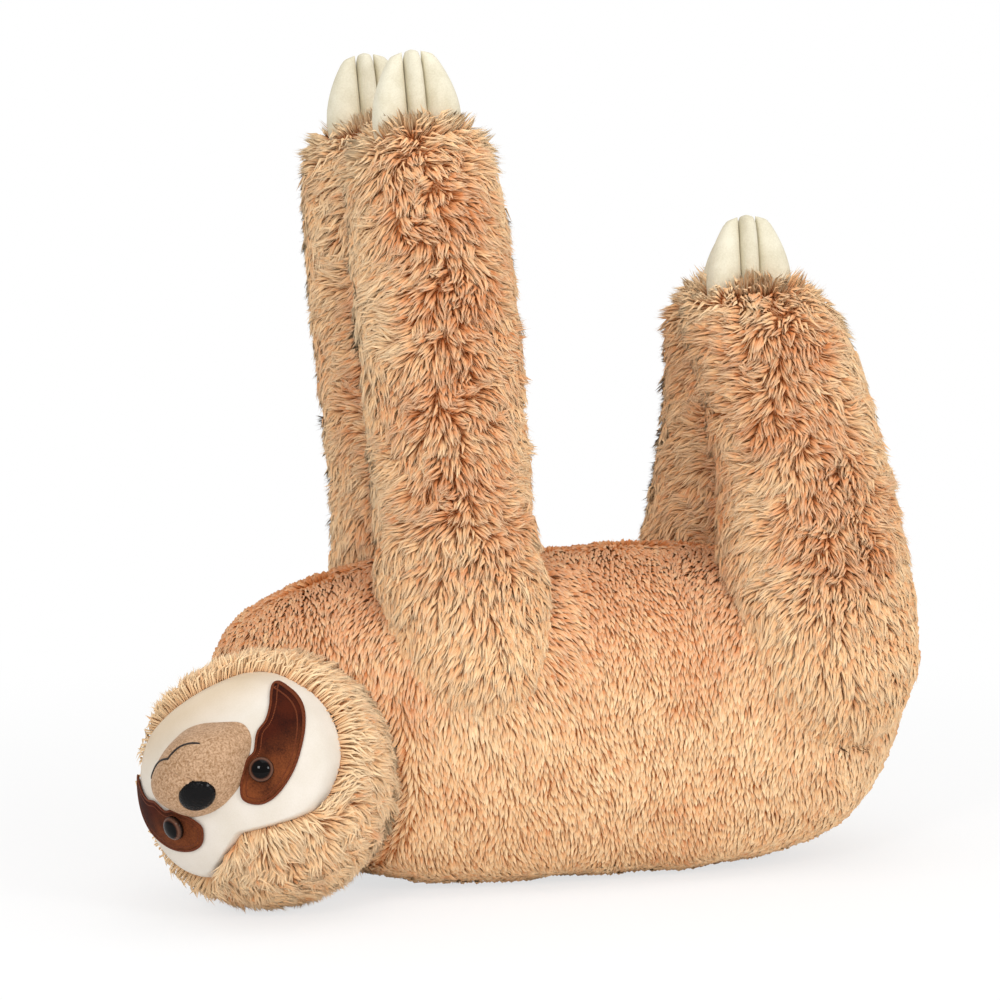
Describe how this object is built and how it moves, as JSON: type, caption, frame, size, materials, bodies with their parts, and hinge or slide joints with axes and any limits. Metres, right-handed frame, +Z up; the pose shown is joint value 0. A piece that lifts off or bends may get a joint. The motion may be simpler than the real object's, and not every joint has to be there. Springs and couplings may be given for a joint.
{
  "type": "plush sloth",
  "caption": "Long-pile plush sloth lying on its back with its limbs up; its head and limbs flex where they are sewn to the stuffed torso.",
  "frame": {"origin": "middle of the flat of the back, on the surface that the sloth lies on", "axes": "+X from the head towards the rump, +Z up out of the belly, the sloth's right side faces -Y"},
  "size_m": [0.6245, 0.3125, 0.6286],
  "materials": {
    "fur": "matte",
    "cream_plush": "matte",
    "muzzle_plush": "matte",
    "patch_felt": "matte",
    "claw_felt": "matte",
    "stuffing": "matte",
    "thread": "satin",
    "nose_plastic": "gloss",
    "eye_plastic": "gloss",
    "washer_plastic": "matte"
  },
  "bodies": {
    "torso": {"torso_fur": "fur", "torso_stuffing": "stuffing"},
    "head": {"head_fur": "fur", "head_stuffing": "stuffing", "face_panel": "cream_plush", "muzzle": "muzzle_plush", "muzzle_stuffing": "stuffing", "nose": "nose_plastic", "nose_washer": "washer_plastic", "mouth_stitch": "thread", "right_eye_patch": "patch_felt", "left_eye_patch": "patch_felt", "right_eye": "eye_plastic", "left_eye": "eye_plastic", "right_eye_washer": "washer_plastic", "left_eye_washer": "washer_plastic"},
    "right_arm": {"right_arm_fur": "fur", "right_arm_stuffing": "stuffing", "right_arm_claw_front": "claw_felt", "right_arm_claw_middle": "claw_felt", "right_arm_claw_back": "claw_felt"},
    "left_arm": {"left_arm_fur": "fur", "left_arm_stuffing": "stuffing", "left_arm_claw_front": "claw_felt", "left_arm_claw_middle": "claw_felt", "left_arm_claw_back": "claw_felt"},
    "right_leg": {"right_leg_fur": "fur", "right_leg_stuffing": "stuffing", "right_leg_claw_front": "claw_felt", "right_leg_claw_middle": "claw_felt", "right_leg_claw_back": "claw_felt"},
    "left_leg": {"left_leg_fur": "fur", "left_leg_stuffing": "stuffing", "left_leg_claw_front": "claw_felt", "left_leg_claw_middle": "claw_felt", "left_leg_claw_back": "claw_felt"}
  },
  "joints": [
    {"name": "neck_turn", "type": "hinge", "parent": "torso", "child": "head", "pos_m": [-0.257, -0.085, 0.0965], "axis": [0, 0, 1], "range_deg": [-35, 20], "stiffness_Nm_per_rad": 3},
    {"name": "right_shoulder_swing", "type": "hinge", "parent": "torso", "child": "right_arm", "pos_m": [-0.1, -0.068, 0.178], "axis": [0, 1, 0], "range_deg": [-30, 10], "stiffness_Nm_per_rad": 5},
    {"name": "left_shoulder_swing", "type": "hinge", "parent": "torso", "child": "left_arm", "pos_m": [-0.1, 0.068, 0.178], "axis": [0, 1, 0], "range_deg": [-30, 10], "stiffness_Nm_per_rad": 5},
    {"name": "right_hip_swing", "type": "hinge", "parent": "torso", "child": "right_leg", "pos_m": [0.182, -0.07, 0.165], "axis": [0, 1, 0], "range_deg": [-8, 28], "stiffness_Nm_per_rad": 5},
    {"name": "left_hip_swing", "type": "hinge", "parent": "torso", "child": "left_leg", "pos_m": [0.16, 0.07, 0.165], "axis": [0, 1, 0], "range_deg": [-13, 20], "stiffness_Nm_per_rad": 5}
  ]
}
